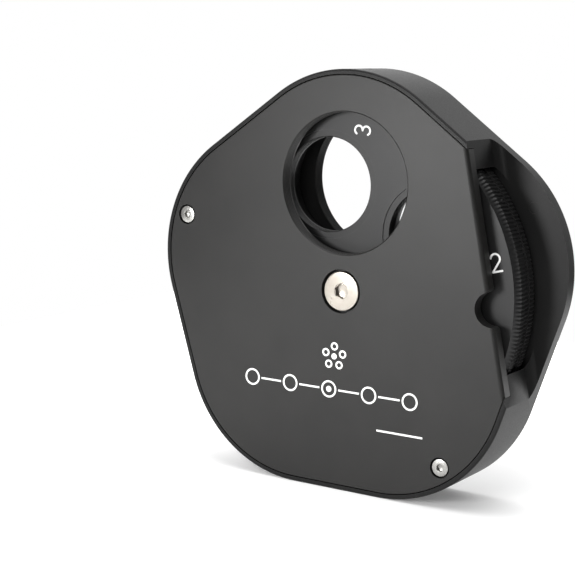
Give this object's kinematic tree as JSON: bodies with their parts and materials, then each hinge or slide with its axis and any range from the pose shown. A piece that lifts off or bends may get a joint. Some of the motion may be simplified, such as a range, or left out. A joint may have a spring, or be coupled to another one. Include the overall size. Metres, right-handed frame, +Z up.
{
  "type": "manual filter wheel",
  "caption": "Flat lobed housing with a threaded port on each side and a carousel of filter seats, turned by thumb at an open edge.",
  "frame": {"origin": "middle of the flat base between the two lower lobes, under the axle and halfway through the depth", "axes": "+Y along the optical axis and the axle, from the front face to the rear face; +Z up, from the base towards the ports; +X to the right as seen from the front, towards the thumb opening"},
  "size_m": [0.1262, 0.0226, 0.1239],
  "materials": {
    "housing_anodised": "bead-blasted, anodised black",
    "plate_anodised": "bead-blasted, anodised black",
    "carousel_anodised": "turned, anodised black",
    "nickel_steel": "nickel plated",
    "screw_steel": "plain stainless",
    "spring_steel": "bright",
    "sleeve_steel": "ground",
    "bronze": "turned",
    "slide_plastic": "plain white",
    "white_print": "printed paint"
  },
  "bodies": {
    "housing": {"rear_housing": "housing_anodised", "front_plate": "plate_anodised", "cover_screw_upper_left": "screw_steel", "cover_screw_lower_right": "screw_steel", "axle_bolt": "nickel_steel", "axle_sleeve": "sleeve_steel", "thrust_washer_front": "slide_plastic", "thrust_washer_rear": "slide_plastic", "disc_spring_washer": "spring_steel", "detent_plug": "screw_steel", "detent_spring": "spring_steel", "face_marking": "white_print"},
    "carousel": {"carousel": "carousel_anodised", "carousel_bush": "bronze", "number_1": "white_print", "number_2": "white_print", "number_3": "white_print", "number_4": "white_print", "number_5": "white_print"},
    "detent_ball": {"detent_ball": "spring_steel"}
  },
  "joints": [
    {"name": "carousel_turn", "type": "hinge", "parent": "housing", "child": "carousel", "pos_m": [0, 0, 0.05964], "axis": [0, -1, 0], "continuous": true},
    {"name": "detent_ball_travel", "type": "slide", "parent": "housing", "child": "detent_ball", "axis": [0, 0, 1], "range_m": [0, 0.0009], "stiffness_N_per_m": 1800, "springref_m": -0.0015, "deforming": ["detent_spring"]}
  ]
}
